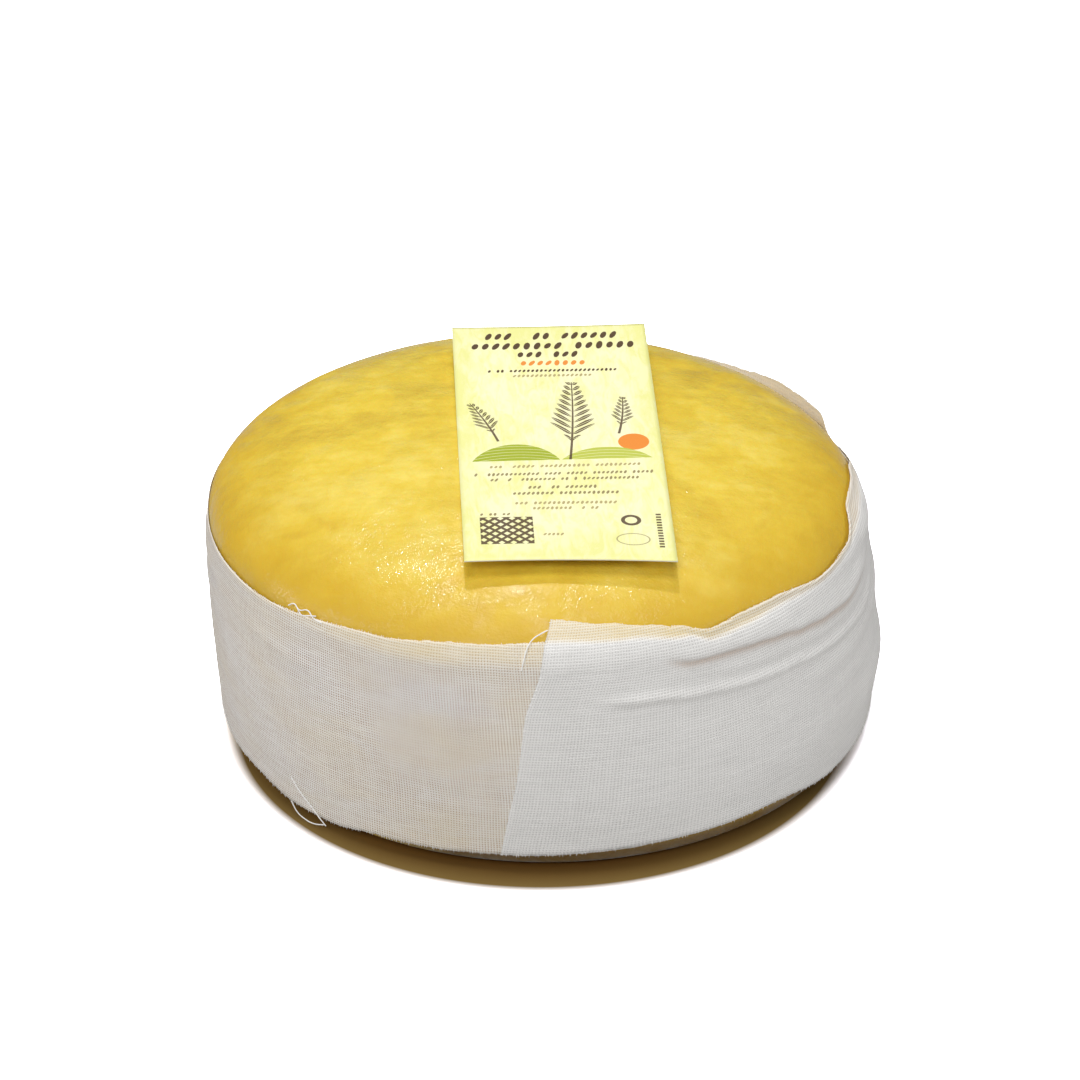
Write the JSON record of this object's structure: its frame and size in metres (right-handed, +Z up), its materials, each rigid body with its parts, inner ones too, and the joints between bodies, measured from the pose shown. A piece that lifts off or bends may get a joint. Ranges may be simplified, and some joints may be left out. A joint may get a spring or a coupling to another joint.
{
  "type": "cured mixed milk cheese",
  "caption": "Round cured cheese wheel with rounded shoulders, a gauze band wound round its side and a paper label lying on top.",
  "frame": {"origin": "centre of the flat foot that the wheel stands on", "axes": "+Z up, -Y towards the side where the band's free end shows, +X to the right seen from there"},
  "size_m": [0.1513, 0.1506, 0.0708],
  "materials": {
    "rind": "smooth oiled yellow rind, lightly glossy, deeper orange round the shoulder",
    "gauze": "off-white open plain-weave cotton gauze, matt and slightly see-through",
    "label_card": "pale yellow-green mottled print on coated card, satin"
  },
  "bodies": {
    "root": {"cheese": "rind", "cloth_band": "gauze", "label": "label_card"}
  },
  "joints": []
}
